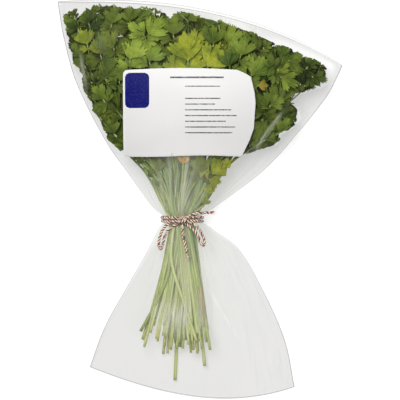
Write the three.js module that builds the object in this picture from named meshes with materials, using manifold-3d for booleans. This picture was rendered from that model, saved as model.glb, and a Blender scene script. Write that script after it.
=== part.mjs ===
// A bunch of cut flat-leaf parsley in an open clear film sleeve, lying on its back.
//
// The leafy stems run through the waist, where a twine bow gathers stems and film. Above the waist each
// stem ends in a leaf of three divisions, and each division is one thin blade, cut to its rib into three
// toothed leaflets. Below the waist the stems fan out to their cut ends. A paper label lies on the front
// of the sleeve. Units are millimetres, +Z is up off the table, +Y runs from the cut ends to the leaf
// tips, and the origin is on the table under the middle of the sleeve.
//
// The sleeve has coordinates of its own: u runs across it from -1 at its left edge to 1 at its right
// edge, v runs along it from -1 at the foot over 0 at the waist to 1 at the mouth, and t runs through it
// from 0 at the back film to 1 at the front film. Every stem keeps a level t of its own, so the leaves
// lie on one another like the pages of a book and never cross.
import * as THREE from "three";
import { mergeVertices } from "three/addons/utils/BufferGeometryUtils.js";
import Module from "manifold-3d";

const wasm = await Module();
wasm.setup();

// ---- driving dimensions ----

const FILM = 0.6; // wall of the sleeve
const AIR = 0.5; // least gap between the film and what is in it
const SLEEVE_AROUND = 24; // flats around the sleeve
const SLEEVE_ALONG = 16; // flats along it
const WAIST_CROWDING = 1.6; // how much closer the flats lie near the waist

// The sleeve at its stations: both edges [x, y], the bow of the line between them, the heights of the
// front and back film and of the edge where they meet, the powers that round the front and the back,
// and where across the sleeve the front is highest.
const STATIONS = [
  { v: -1.0, left: [-83.2, -126], right: [71.3, -141], bow: -14.4,
    front: 8, back: 0, edge: 1.8, crown: 1.2, belly: 0.4, lean: -0.2 },
  { v: -0.75, left: [-72, -96], right: [64, -105.8], bow: -10,
    front: 22.5, back: 0, edge: 2.4, crown: 1.5, belly: 0.4, lean: -0.16 },
  { v: -0.5, left: [-55.5, -66], right: [48, -69], bow: -6,
    front: 24.5, back: 0, edge: 4, crown: 1.3, belly: 0.4, lean: -0.24 },
  { v: -0.25, left: [-39, -37], right: [28.5, -36], bow: -2.5,
    front: 25.2, back: 0.6, edge: 8, crown: 1.1, belly: 0.4, lean: -0.25 },
  { v: -0.1, left: [-31, -21], right: [8, -20.5], bow: -0.5,
    front: 25.4, back: 2.5, edge: 13.2, crown: 0.6, belly: 0.5, lean: -0.08 },
  { v: 0, left: [-26.3, -14], right: [-0.3, -14], bow: 0,
    front: 25.3, back: 3.5, edge: 14.4, crown: 0.5, belly: 0.5, lean: 0 },
  { v: 0.1, left: [-36, -5], right: [12, -5], bow: 1,
    front: 27.8, back: 2.3, edge: 14.2, crown: 0.6, belly: 0.5, lean: -0.04 },
  { v: 0.25, left: [-52.5, 18], right: [46.5, 21], bow: 10,
    front: 36, back: 0, edge: 14, crown: 0.75, belly: 0.4, lean: 0 },
  { v: 0.5, left: [-71.3, 45], right: [75, 52], bow: 15,
    front: 47, back: 0, edge: 15, crown: 0.6, belly: 0.35, lean: 0 },
  { v: 0.75, left: [-93, 88.5], right: [95.3, 78], bow: 17,
    front: 48, back: 0, edge: 15, crown: 0.5, belly: 0.35, lean: 0 },
  { v: 0.9, left: [-102.5, 122], right: [104, 94], bow: 17.5,
    front: 40, back: 0, edge: 12, crown: 0.5, belly: 0.35, lean: 0 },
  { v: 1.0, left: [-107.2, 149.2], right: [107.2, 101.3], bow: 17.5,
    front: 29, back: 0, edge: 9, crown: 0.55, belly: 0.4, lean: 0 },
];
const BOW_LEAN = 0.2; // how much further right than left the bow of the line between the edges stands out
const FLAT_BACK = 1.25; // how far the back would bulge past the table if the table weren't there
const ROUND_WAIST = [0.04, 0.25]; // from round to flat-backed, along the sleeve
const SIDE_GAP = 3; // the front film keeps at least this much room over the edges, even where it lies flat
const SIDE_ROUND = 0.35; // the power that rounds that room off
const EDGE_WALL = 1.4; // thickness of the folded film at the two edges
const EDGE_LENGTH = 8; // the higher, the shorter the way over which the wall thickens to that
const SLOPE_WALL = 1.1; // how much thicker the wall is straight up than across, where it slopes

const ROWS = [3, 4, 5, 5, 4, 3]; // stems side by side in each row at the waist, back row first
const ROW_PITCH = 3.1; // from row to row at the waist and below it
const STEM_PITCH = 3.9; // from stem to stem of a row at the waist
const WAIST = { x: -13.3, y: -14, z: 14.4 }; // middle of the gathered stems
// The levels that a row's stems take, from left to right, for a row of three, four and five.
const LEVELS = { 3: [0, 2, 1], 4: [1, 2, 0, 2], 5: [0, 2, 1, 0, 2] };
const ROW_LEVELS = 3;
const LEVEL_COUNT = ROWS.length * ROW_LEVELS;
const LEVEL_SPAN = 0.045; // share of the room left free at the back and at the front
// Where the stems still run close together. The back rows lie a shift to the right of the front rows.
const GATHER = { v: 0.3, middle: -0.13, spread: 0.55, shift: 0.035 };
// How far across the sleeve the stems reach, and how far along it.
const FAN = { middle: -0.05, spread: 0.87, scatter: 0.1, start: 0.7 };
const REACH = { long: [0.96, 0.93], short: [0.68, 0.8, 0.74], right: 0.07, spread: 0.02 };
const LEVELLED_V = 0.36; // from here on each stem lies on its own level

const FOOT_R = 1.35; // stem radius at the cut end
const FORK_R = 0.75; // stem radius where the lower divisions branch off
const TIP_R = 0.6; // stem radius in the end division
const STEM_SIDES = 5;
const STEM_STATIONS = [0, 0.06, 0.14, 0.23, 0.33]; // where along the sleeve a stem may bend
const FORK_CLEAR = 0.05; // least way along the sleeve from the last of them to the fork
const LENGTH_PER_V = 165; // length of the leafy part of the sleeve for one of v
const FOOT_Y = -100; // where the feet are set out, and the middle of the cut ends
const FOOT_PITCH = 5.8; // from stem to stem of a row there
const FOOT_Z = 2.9; // height of the back row there
const FOOT_SHIFT = [-4, 5.6, -7, 6.5, -10.9, 11.4]; // how far each row has slid sideways there
const SPLAY = [0, 0, -13, 6, -7, 0]; // how much further out its left (-) or right (+) stem bends there
const FOOT_SPREAD = [-4, 7]; // how far past FOOT_Y the stems are cut
const FOOT_BEND = 0.45; // share of the way from the cut to the waist where a stem may bend
const CUT_LONGER = { 1: 36, 6: 25, 7: 12 }; // stems that were cut longer than the rest

const BLADE = 0.65; // thickness of a leaf blade
const END_SIZE = 29; // length of the end division
const END_TURN = 14; // how far it may turn from the stem's line
const SIDE_SIZE = [22, 28.6]; // length of a side division
const SIDE_DROP = 26; // how far below the foot of the end division the side divisions branch off
const BRANCH = 9; // length of their stalks
const BRANCH_ANGLE = 58;
const BRANCH_SIDES = 4;
const SIDE_ANGLE = [60, 68]; // which way the side divisions point
const LEAFLET_ANGLE = 48; // between the leaflets of a division
const SIDE_LEAFLET = 0.84; // side leaflets against the middle one
const ROOT = 2.5; // how far a stalk runs on into its division
const CLEFT = 0.22; // how near the foot the clefts between leaflets come
// Edge of a leaflet, from its rib outwards: degrees from the rib, and distance from the foot.
const TEETH = [[0, 1], [9, 0.78], [16, 0.92], [22.5, 0.56]];
const DROOP = 0.4; // how far the leaflet tips droop
const ROLL = 0.3; // how far a division may roll to one side
// The slow waves that all levels share, and where along the sleeve they begin.
const WAVE = { height: 2.4, length: 105, slant: 0.4, crossSlant: 0.3, from: [0.2, 0.5] };
const EDGE_U = 0.93; // leaves stay inside these
const EDGE_V = 0.97;
const PRESS = 0.9; // a leaf that would pass them is pressed back in steps of this
const NO_ROOM_U = 0.84; // a side division that would start past this has been pressed off
const EDGE_CARE = 1.03; // the levels draw in to the film's edges a little early
const EDGE_LAST = 0.985; // and stay apart from there on

const LABEL = { left: -57, right: 41, bottom: 32.5, top: 96, thick: 0.5, columns: 7, rows: 5 };
const LABEL_GAP = 0.9; // between the film and the label
const LABEL_CURL = 2.5; // how far the label's right side has lifted

const TWINE_R = 1.05;
const TWINE_SIDES = 6;
const TURNS = [-15.7, -13.1]; // where the two turns of twine lie along the waist
const TURN_STEPS = 16;
const KNOT = { x: -13.4, y: -15, z: 29, length: 5.6, radius: 2.7, endRadius: 1.5, sides: 8 };
// The bow in plan, each way from the knot, in order along the twine.
const BOW = {
  leftLoop: [[-14.5, -15], [-19.8, -16.4], [-25, -18.8], [-28.7, -24.2], [-30.6, -31.5], [-29.6, -37.2],
    [-26.9, -33.8], [-25.6, -27.8], [-23, -22.6], [-19.2, -19.4], [-14.8, -16]],
  rightLoop: [[-12.4, -15], [-7.8, -16.4], [-3.2, -18.8], [0.3, -23.4], [2.9, -29.6], [2.4, -33.8],
    [-0.4, -31.6], [-2.2, -26.8], [-5.2, -22.4], [-8.8, -19.3], [-12.2, -16]],
  longTail: [[-13.6, -15.5], [-13.1, -21.5], [-12.2, -28.5], [-10.6, -35], [-9.3, -41]],
  shortTail: [[-12.6, -14.6], [-7.4, -11.6], [-1.6, -9.8], [3.6, -9.6], [7.8, -9.4]],
};
const TWINE_GAP = 0.95; // between the film and the twine
const BOW_GAP = 0.9; // between the film and the bow
const KNOT_HOLD = 6; // how far from the knot the bow comes down to the film
const SAG_EDGE = 0.8; // past this share of the way to the film's edge the bow hangs level

// ---- colours ----

const LEAF_COLOURS = ["#4f7a22", "#5f8a2b", "#3f6a1c", "#6f9a3a", "#86a94a"];
const FILM_COLOUR = "#e9ebe8";
const PAPER_COLOUR = "#f1f0ee";
const TWINE_COLOUR = "#cfa79c";

// ---- small helpers ----

const radians = THREE.MathUtils.degToRad;
const lerp = THREE.MathUtils.lerp;
const clamp = THREE.MathUtils.clamp;
const smooth = (from, to, value) => THREE.MathUtils.smoothstep(value, from, to);

// A steady random number from 0 to 1: draw k of stem i.
function draw(i, k) {
  let seed = 7919 * (i + 1) + 104729 * (k + 1);
  for (let turn = 0; turn < 3; turn++) seed = (seed * 1664525 + 1013904223) % 4294967296;
  return seed / 4294967296;
}

// ---- the sleeve's own coordinates ----

// A value of the stations at v, on a smooth curve through them.
function along(value, v) {
  let k = 0;
  while (k < STATIONS.length - 2 && v > STATIONS[k + 1].v) k++;
  const slope = (j) => {
    const before = STATIONS[Math.max(j - 1, 0)];
    const after = STATIONS[Math.min(j + 1, STATIONS.length - 1)];
    return (value(after) - value(before)) / (after.v - before.v);
  };
  const span = STATIONS[k + 1].v - STATIONS[k].v;
  const s = (v - STATIONS[k].v) / span;
  const start = value(STATIONS[k]);
  const end = value(STATIONS[k + 1]);
  const hermite = (1 + 2 * s) * (1 - s) ** 2 * start + s * s * (3 - 2 * s) * end;
  return hermite + s * (1 - s) ** 2 * span * slope(k) - s * s * (1 - s) * span * slope(k + 1);
}

// The plan position of (u, v).
function planOf(u, v) {
  const across = (u + 1) / 2;
  const left = [along((s) => s.left[0], v), along((s) => s.left[1], v)];
  const right = [along((s) => s.right[0], v), along((s) => s.right[1], v)];
  const bow = along((s) => s.bow, v) * (1 - u * u) * (1 + BOW_LEAN * u);
  return [lerp(left[0], right[0], across), lerp(left[1], right[1], across) + bow];
}

// The (u, v) of a plan position, by halving the stretch of v that it can lie in.
function sleeveOf(x, y) {
  let low = -1;
  let high = 1;
  let u = 0;
  for (let turn = 0; turn < 24; turn++) {
    const v = (low + high) / 2;
    const left = along((s) => s.left[0], v);
    const right = along((s) => s.right[0], v);
    u = clamp((2 * (x - left)) / (right - left) - 1, -1.2, 1.2);
    if (planOf(u, v)[1] < y) low = v;
    else high = v;
  }
  return [u, (low + high) / 2];
}

// Heights of the outside of the back and the front film at (u, v).
function filmHeights(u, v) {
  const edge = along((s) => s.edge, v);
  const front = along((s) => s.front, v);
  const back = along((s) => s.back, v);
  const lean = along((s) => s.lean, v);
  const shifted = clamp((u - lean) / (1 - lean * u), -1, 1);
  const crown = (1 - shifted * shifted) ** along((s) => s.crown, v);
  const belly = Math.max(1 - u * u, 0) ** along((s) => s.belly, v);
  const flatness = smooth(...ROUND_WAIST, Math.abs(v));
  const wing = SIDE_GAP * flatness;
  const top = edge + wing * Math.max(1 - u * u, 0) ** SIDE_ROUND + (front - edge - wing) * crown;
  const bulge = lerp(1, FLAT_BACK, flatness);
  return [Math.max(0, edge - (edge - back) * Math.min(1, bulge * belly)), top];
}

// Height of level t at (u, v). The levels share slow waves that fade out towards the film.
function levelHeight(u, v, t) {
  const [back, front] = filmHeights(clamp(u * EDGE_CARE, -EDGE_LAST, EDGE_LAST), v);
  const low = back + FILM + AIR;
  const high = front - FILM - AIR;
  const [x, y] = planOf(u, v);
  const turn = (2 * Math.PI) / WAVE.length;
  const wave = Math.sin(turn * (x + WAVE.slant * y) + 1) * Math.cos(turn * (y - WAVE.crossSlant * x));
  const fade = 4 * t * (1 - t) * smooth(...WAVE.from, v) * (1 - u * u);
  return lerp(low, high, t) + WAVE.height * wave * fade;
}

// ---- meshes ----

// A geometry of points and triangles, with shared points.
function meshOf(points, triangles) {
  const geometry = new THREE.BufferGeometry();
  geometry.setAttribute("position", new THREE.Float32BufferAttribute(points.flat(), 3));
  geometry.setIndex(triangles.flat());
  return mergeVertices(geometry, 1e-5);
}

// A skin over rings of points, closed at both ends, or end to end where it is a loop.
function loft(rings, isLoop = false) {
  const size = rings[0].length;
  const triangles = [];
  const at = (ring, k) => (ring % rings.length) * size + (k % size);
  const spans = isLoop ? rings.length : rings.length - 1;
  for (let ring = 0; ring < spans; ring++) {
    for (let k = 0; k < size; k++) {
      triangles.push([at(ring, k), at(ring, k + 1), at(ring + 1, k + 1)]);
      triangles.push([at(ring, k), at(ring + 1, k + 1), at(ring + 1, k)]);
    }
  }
  if (!isLoop) {
    for (let k = 1; k < size - 1; k++) {
      triangles.push([at(0, 0), at(0, k + 1), at(0, k)]);
      triangles.push([at(rings.length - 1, 0), at(rings.length - 1, k), at(rings.length - 1, k + 1)]);
    }
  }
  return meshOf(rings.flat(), triangles);
}

// A tube along points, with a radius for each share of the way.
function tube(points, radiusAt, sides, isLoop = false) {
  const path = new THREE.CatmullRomCurve3(points.map((p) => new THREE.Vector3(...p)), isLoop);
  const steps = points.length - (isLoop ? 0 : 1);
  const { normals, binormals } = path.computeFrenetFrames(steps, isLoop);
  const rings = [];
  for (let step = 0; step < steps + (isLoop ? 0 : 1); step++) {
    const centre = new THREE.Vector3(...points[step]);
    const radius = radiusAt(step / steps);
    const ring = [];
    for (let k = 0; k < sides; k++) {
      const angle = (2 * Math.PI * k) / sides;
      const point = centre.clone();
      point.addScaledVector(normals[step], radius * Math.cos(angle));
      point.addScaledVector(binormals[step], radius * Math.sin(angle));
      ring.push(point.toArray());
    }
    rings.push(ring);
  }
  return loft(rings, isLoop);
}

function toSolid(geometry) {
  const vertProperties = new Float32Array(geometry.attributes.position.array);
  const triVerts = new Uint32Array(geometry.index.array);
  return new wasm.Manifold(new wasm.Mesh({ numProp: 3, vertProperties, triVerts }));
}

// The geometries joined into one closed body.
function fuse(geometries) {
  const solid = geometries.map(toSolid).reduce((sum, next) => sum.add(next));
  const mesh = solid.getMesh();
  const geometry = new THREE.BufferGeometry();
  const points = [];
  for (let k = 0; k < mesh.vertProperties.length; k += mesh.numProp) {
    points.push(...mesh.vertProperties.slice(k, k + 3));
  }
  geometry.setAttribute("position", new THREE.Float32BufferAttribute(points, 3));
  geometry.setIndex([...mesh.triVerts]);
  return geometry;
}

// A named mesh with a material of its own.
function named(name, geometry, colour, roughness, looks = {}) {
  geometry.computeVertexNormals();
  const material = new THREE.MeshStandardMaterial({ color: colour, roughness, metalness: 0, ...looks });
  const mesh = new THREE.Mesh(geometry, material);
  mesh.name = name;
  return mesh;
}

// ---- the sleeve ----

// A tube of film, open at the foot and at the mouth.
function makeSleeve() {
  const half = SLEEVE_AROUND / 2;
  const ring = (v, wall, edgeWall) => {
    const points = [];
    for (let k = 0; k < SLEEVE_AROUND; k++) {
      const isFront = k <= half;
      const u = -Math.cos((Math.PI * k) / half);
      const [x, y] = planOf(u, v);
      const [back, front] = filmHeights(u, v);
      const isEdge = k % half === 0;
      const inward = isEdge ? 0 : wall * (isFront ? -1 : 1);
      points.push([x - Math.sign(u) * edgeWall * u ** EDGE_LENGTH, y, (isFront ? front : back) + inward]);
    }
    return points;
  };
  const levels = [];
  for (let k = 0; k <= SLEEVE_ALONG; k++) {
    const share = (2 * k) / SLEEVE_ALONG - 1;
    levels.push(Math.sign(share) * Math.abs(share) ** WAIST_CROWDING);
  }
  const outside = levels.map((v) => ring(v, 0, 0));
  const inside = levels.map((v) => ring(v, FILM * SLOPE_WALL, EDGE_WALL)).reverse();
  return loft([...outside, ...inside], true);
}

// ---- the leafy stems ----

// Where stem p of row q runs, and its level.
function stemLayout(q, p, index) {
  const count = ROWS[q];
  const middle = (count - 1) / 2;
  const side = (p - middle) / middle;
  const isLong = (q + p) % 2 === 0;
  const reach = isLong ? REACH.long[p % 2] : REACH.short[(q + 2 * p) % 3] + REACH.right * Math.max(0, side);
  const rowSide = q < ROWS.length / 2 ? 1 : -1;
  const level = q * ROW_LEVELS + LEVELS[count][p];
  return {
    waist: { x: WAIST.x + (p - middle) * STEM_PITCH, z: WAIST.z + (q - (ROWS.length - 1) / 2) * ROW_PITCH },
    foot: { x: WAIST.x + FOOT_SHIFT[q] + (p - middle) * FOOT_PITCH, z: FOOT_Z + q * ROW_PITCH },
    splay: p === (SPLAY[q] < 0 ? 0 : count - 1) ? SPLAY[q] : 0,
    cut: FOOT_Y - (CUT_LONGER[index] ?? lerp(...FOOT_SPREAD, draw(index, 0))),
    gather: GATHER.middle + (GATHER.spread * side * count) / Math.max(...ROWS) + rowSide * GATHER.shift,
    fan: FAN.middle + (FAN.spread * side * count) / (count + 0.5) + FAN.scatter * (draw(index, 1) - 0.5),
    reach: reach - REACH.spread * draw(index, 2),
    level: lerp(LEVEL_SPAN, 1 - LEVEL_SPAN, (level + 0.5) / LEVEL_COUNT),
  };
}

// The middle of a stem at v, from the waist up to the foot of its end division at top.
function stemPoint(stem, v, top) {
  const waistU = (stem.waist.x - WAIST.x) / (planOf(1, 0)[0] - WAIST.x);
  const gathered = lerp(waistU, stem.gather, smooth(0, GATHER.v, v));
  const u = lerp(gathered, stem.fan, smooth(GATHER.v * FAN.start, top, v));
  const z = lerp(stem.waist.z, levelHeight(u, v, stem.level), smooth(0, LEVELLED_V, v));
  return [...planOf(u, v), z];
}

// The middle of a stem at y, below the waist.
function footPoint(stem, y) {
  const share = (WAIST.y - y) / (WAIST.y - FOOT_Y);
  const x = lerp(stem.waist.x, stem.foot.x, share) + stem.splay * share * share;
  return [x, y, lerp(stem.waist.z, stem.foot.z, Math.min(share, 1))];
}

// The height of a stem's leaf at a plan position.
function leafHeight(stem, x, y) {
  const [u, v] = sleeveOf(x, y);
  return levelHeight(u, v, stem.level);
}

// Whether a plan position is where the film's edge presses a leaf back.
function isPressed(x, y) {
  const [u, v] = sleeveOf(x, y);
  return Math.abs(u) > EDGE_U || v > EDGE_V;
}

// One division: a thin blade on the stem's level, cut to its rib into three toothed leaflets.
function makeDivision(stem, foot, heading, size, roll) {
  const outline = [];
  for (const leaflet of [-1, 0, 1]) {
    const reach = size * (leaflet === 0 ? 1 : SIDE_LEAFLET);
    for (let k = -TEETH.length + 1; k < TEETH.length; k++) {
      const [turn, share] = TEETH[Math.abs(k)];
      outline.push([leaflet * LEAFLET_ANGLE + Math.sign(k) * turn, reach * share]);
    }
    if (leaflet < 1) outline.push([(leaflet + 0.5) * LEAFLET_ANGLE, size * CLEFT]);
  }
  const middle = outline.map(([turn, wanted]) => {
    const angle = heading + radians(turn);
    let reach = wanted;
    while (isPressed(foot[0] + reach * Math.sin(angle), foot[1] + reach * Math.cos(angle))) reach *= PRESS;
    const x = foot[0] + reach * Math.sin(angle);
    const y = foot[1] + reach * Math.cos(angle);
    const share = reach / size;
    const bend = roll * ROLL * share * Math.sin(radians(turn)) - DROOP * share * share;
    return [x, y, leafHeight(stem, x, y) + bend];
  });
  middle.unshift([foot[0], foot[1], leafHeight(stem, foot[0], foot[1])]);
  const count = middle.length;
  const points = [];
  for (const side of [-1, 1]) for (const [x, y, z] of middle) points.push([x, y, z + (side * BLADE) / 2]);
  const triangles = [];
  const contour = middle.map(([x, y]) => new THREE.Vector2(x, y));
  for (const [a, b, c] of THREE.ShapeUtils.triangulateShape(contour, [])) {
    triangles.push([a, c, b], [count + a, count + b, count + c]);
  }
  for (let k = 0; k < count; k++) {
    const next = (k + 1) % count;
    triangles.push([k, count + k, count + next], [k, count + next, next]);
  }
  return meshOf(points, triangles);
}

// Stem p of row q: its stalk, its end division and the side divisions there is room for.
function makeLeafyStem(q, p, index) {
  const stem = stemLayout(q, p, index);
  const top = stem.reach - END_SIZE / LENGTH_PER_V;
  const forkV = top - SIDE_DROP / LENGTH_PER_V;
  const points = [footPoint(stem, stem.cut), footPoint(stem, lerp(stem.cut, WAIST.y, FOOT_BEND))];
  for (const v of STEM_STATIONS) if (v < forkV - FORK_CLEAR) points.push(stemPoint(stem, v, top));
  for (const v of [forkV, (forkV + top) / 2, top]) points.push(stemPoint(stem, v, top));
  const waistStep = 2;
  const forkStep = points.length - 3;
  const foot = points[forkStep + 2];
  const heading = Math.atan2(foot[0] - points[forkStep + 1][0], foot[1] - points[forkStep + 1][1]);
  const onLevel = (from, reach, angle) => {
    const x = from[0] + reach * Math.sin(angle);
    const y = from[1] + reach * Math.cos(angle);
    return [x, y, leafHeight(stem, x, y)];
  };
  points.push(onLevel(foot, ROOT, heading));
  const radiusAt = (share) => {
    const step = share * (points.length - 1);
    const taper = clamp((step - waistStep) / (forkStep - waistStep), 0, 1);
    return lerp(FOOT_R, step > forkStep + 1 ? TIP_R : FORK_R, taper);
  };
  const pieces = [tube(points, radiusAt, STEM_SIDES)];
  const roll = 2 * draw(index, 3) - 1;
  const turn = END_TURN * (draw(index, 4) - 0.5);
  pieces.push(makeDivision(stem, foot, heading + radians(turn), END_SIZE, roll));
  const fork = points[forkStep];
  for (const side of [-1, 1]) {
    const outward = heading + side * radians(BRANCH_ANGLE);
    const base = onLevel(fork, BRANCH, outward);
    if (Math.abs(sleeveOf(base[0], base[1])[0]) > NO_ROOM_U) continue;
    const facing = heading + side * radians(lerp(...SIDE_ANGLE, draw(index, 8 + side)));
    pieces.push(tube([fork, onLevel(fork, BRANCH + ROOT, outward)], () => TIP_R, BRANCH_SIDES));
    pieces.push(makeDivision(stem, base, facing, lerp(...SIDE_SIZE, draw(index, 5 + side)), -roll));
  }
  return fuse(pieces);
}

// ---- the label ----

// A sheet that lies on the front film, its right side lifting away.
function makeLabel() {
  const { columns, rows } = LABEL;
  const points = [];
  const triangles = [];
  for (const side of [0, 1]) {
    for (let row = 0; row <= rows; row++) {
      for (let column = 0; column <= columns; column++) {
        const across = column / columns;
        const x = lerp(LABEL.left, LABEL.right, across);
        const y = lerp(LABEL.bottom, LABEL.top, row / rows);
        const [u, v] = sleeveOf(x, y);
        const lift = LABEL_GAP + LABEL_CURL * across ** 4;
        points.push([x, y, filmHeights(u, v)[1] + lift + side * LABEL.thick]);
      }
    }
  }
  const layer = (columns + 1) * (rows + 1);
  const at = (side, row, column) => side * layer + row * (columns + 1) + column;
  for (let row = 0; row < rows; row++) {
    for (let column = 0; column < columns; column++) {
      const a = at(0, row, column);
      const b = at(0, row, column + 1);
      const c = at(0, row + 1, column + 1);
      const d = at(0, row + 1, column);
      triangles.push([a, c, b], [a, d, c]);
      triangles.push([a + layer, b + layer, c + layer], [a + layer, c + layer, d + layer]);
    }
  }
  const rim = [];
  for (let column = 0; column < columns; column++) rim.push([0, column]);
  for (let row = 0; row < rows; row++) rim.push([row, columns]);
  for (let column = columns; column > 0; column--) rim.push([rows, column]);
  for (let row = rows; row > 0; row--) rim.push([row, 0]);
  rim.forEach(([row, column], k) => {
    const [nextRow, nextColumn] = rim[(k + 1) % rim.length];
    const low = at(0, row, column);
    const nextLow = at(0, nextRow, nextColumn);
    triangles.push([low, nextLow, nextLow + layer], [low, nextLow + layer, low + layer]);
  });
  return meshOf(points, triangles);
}

// ---- the twine ----

// A point of the bow: on the front film, or near the knot on the way up to it.
function bowPoint([x, y]) {
  const [u, v] = sleeveOf(x, y);
  const top = filmHeights(clamp(u, -SAG_EDGE, SAG_EDGE), v)[1];
  const near = Math.max(0, 1 - Math.hypot(x - KNOT.x, y - KNOT.y) / KNOT_HOLD);
  return [x, y, lerp(top + TWINE_R + BOW_GAP, KNOT.z, near)];
}

// Two turns round the waist, the knot and the four ways out of it.
function makeTwine() {
  const pieces = [];
  for (const y of TURNS) {
    const [, v] = sleeveOf(WAIST.x, y);
    const [back, front] = filmHeights(0, v);
    const halfWidth = (planOf(1, v)[0] - planOf(-1, v)[0]) / 2 + TWINE_R + TWINE_GAP;
    const halfHeight = (front - back) / 2 + TWINE_R + TWINE_GAP;
    const turn = [];
    for (let k = 0; k < TURN_STEPS; k++) {
      const angle = (2 * Math.PI * k) / TURN_STEPS;
      const x = planOf(0, v)[0] + halfWidth * Math.cos(angle);
      turn.push([x, y, (front + back) / 2 + halfHeight * Math.sin(angle)]);
    }
    pieces.push(tube(turn, () => TWINE_R, TWINE_SIDES, true));
  }
  const knot = [-1, -0.6, 0, 0.6, 1].map((share) => [KNOT.x + (share * KNOT.length) / 2, KNOT.y, KNOT.z]);
  const knotRadius = (share) => lerp(KNOT.endRadius, KNOT.radius, Math.sin(Math.PI * share));
  pieces.push(tube(knot, knotRadius, KNOT.sides));
  for (const route of Object.values(BOW)) {
    pieces.push(tube(route.map(bowPoint), () => TWINE_R, TWINE_SIDES));
  }
  return fuse(pieces);
}

// ---- the whole bunch ----

const bunch = new THREE.Group();
const filmLooks = { transparent: true, opacity: 0.25, side: THREE.DoubleSide };
bunch.add(named("sleeve", makeSleeve(), FILM_COLOUR, 0.25, filmLooks));
let index = 0;
for (let q = 0; q < ROWS.length; q++) {
  for (let p = 0; p < ROWS[q]; p++) {
    const colour = LEAF_COLOURS[(2 * q + 3 * p) % LEAF_COLOURS.length];
    const name = `leafy_stem_${String(index + 1).padStart(2, "0")}`;
    bunch.add(named(name, makeLeafyStem(q, p, index), colour, 0.55));
    index++;
  }
}
bunch.add(named("label", makeLabel(), PAPER_COLOUR, 0.6));
bunch.add(named("twine", makeTwine(), TWINE_COLOUR, 0.9));

export default bunch;
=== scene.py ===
"""The looks of a bunch of flat-leaf parsley in a clear film sleeve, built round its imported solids.

Lengths in the helpers are millimetres, as in the part's source, and Shape.object makes them metres.
The sleeve has coordinates of its own: u runs across it from -1 to 1, v along it from -1 at the foot by
0 at the waist to 1 at the mouth, and a level t through it from 0 at the back film to 1 at the front.
"""

import math

import bpy
import numpy as np
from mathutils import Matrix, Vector


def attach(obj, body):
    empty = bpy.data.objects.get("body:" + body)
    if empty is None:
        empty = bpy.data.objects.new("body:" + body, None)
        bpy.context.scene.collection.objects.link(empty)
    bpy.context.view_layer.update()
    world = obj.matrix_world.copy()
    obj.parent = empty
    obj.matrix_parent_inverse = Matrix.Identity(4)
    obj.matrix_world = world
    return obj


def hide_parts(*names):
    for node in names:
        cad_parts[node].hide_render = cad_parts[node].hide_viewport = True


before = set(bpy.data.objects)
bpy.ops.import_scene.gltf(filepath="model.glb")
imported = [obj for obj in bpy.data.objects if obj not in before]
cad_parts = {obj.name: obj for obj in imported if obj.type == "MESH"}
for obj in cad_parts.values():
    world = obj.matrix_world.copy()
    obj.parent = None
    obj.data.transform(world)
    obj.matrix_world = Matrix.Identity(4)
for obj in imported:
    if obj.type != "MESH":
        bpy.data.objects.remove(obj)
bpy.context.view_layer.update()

MM = 0.001

# ---- camera ----

CAMERA_HEIGHT = 2.015  # far off with a long lens, straight over the middle of the sleeve
scene = bpy.context.scene
camera = bpy.data.objects.new("camera", bpy.data.cameras.new("camera"))
camera.data.lens = 240
camera.data.sensor_width = 36
camera.data.clip_end = 50
camera.location = (0, 0, CAMERA_HEIGHT)
scene.collection.objects.link(camera)
scene.camera = camera

# ---- the sleeve's own coordinates, as in the part ----

# v, left x and y, right x and y, bow, front, back, edge, crown, belly, lean
STATIONS = np.array([
    [-1.0, -83.2, -126, 71.3, -141, -14.4, 8, 0, 1.8, 1.2, 0.4, -0.2],
    [-0.75, -72, -96, 64, -105.8, -10, 22.5, 0, 2.4, 1.5, 0.4, -0.16],
    [-0.5, -55.5, -66, 48, -69, -6, 24.5, 0, 4, 1.3, 0.4, -0.24],
    [-0.25, -39, -37, 28.5, -36, -2.5, 25.2, 0.6, 8, 1.1, 0.4, -0.25],
    [-0.1, -31, -21, 8, -20.5, -0.5, 25.4, 2.5, 13.2, 0.6, 0.5, -0.08],
    [0, -26.3, -14, -0.3, -14, 0, 25.3, 3.5, 14.4, 0.5, 0.5, 0],
    [0.1, -36, -5, 12, -5, 1, 27.8, 2.3, 14.2, 0.6, 0.5, -0.04],
    [0.25, -52.5, 18, 46.5, 21, 10, 36, 0, 14, 0.75, 0.4, 0],
    [0.5, -71.3, 45, 75, 52, 15, 47, 0, 15, 0.6, 0.35, 0],
    [0.75, -93, 88.5, 95.3, 78, 17, 48, 0, 15, 0.5, 0.35, 0],
    [0.9, -102.5, 122, 104, 94, 17.5, 40, 0, 12, 0.5, 0.35, 0],
    [1.0, -107.2, 149.2, 107.2, 101.3, 17.5, 29, 0, 9, 0.55, 0.4, 0],
])
FILM, AIR = 0.6, 0.5  # the part's film thickness, and the least air between it and the leaves
SIDE_GAP = 3  # how far apart the front and the back film are at the sleeve's sides
WIDEST = 0.985  # film heights are read no nearer the sides than this u
RIPPLE, RIPPLE_LENGTH = 2.4, 105  # how high and how long the waves in the levels are
LEAF_GAP, STALK_GAP = 0.75, 1.3  # how near leaves come to the back film, and stalks to the front film


def smooth(low, high, value):
    """0 below low, 1 above high, and an easy curve between."""
    s = np.clip((value - low) / (high - low), 0, 1)
    return s * s * (3 - 2 * s)


def lerp(a, b, t):
    return a + (b - a) * t


def draw(i, k):
    """A steady random number from 0 to 1: draw k of stem i."""
    seed = 7919 * (i + 1) + 104729 * (k + 1)
    for _ in range(3):
        seed = (seed * 1664525 + 1013904223) % 4294967296
    return seed / 4294967296


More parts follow.
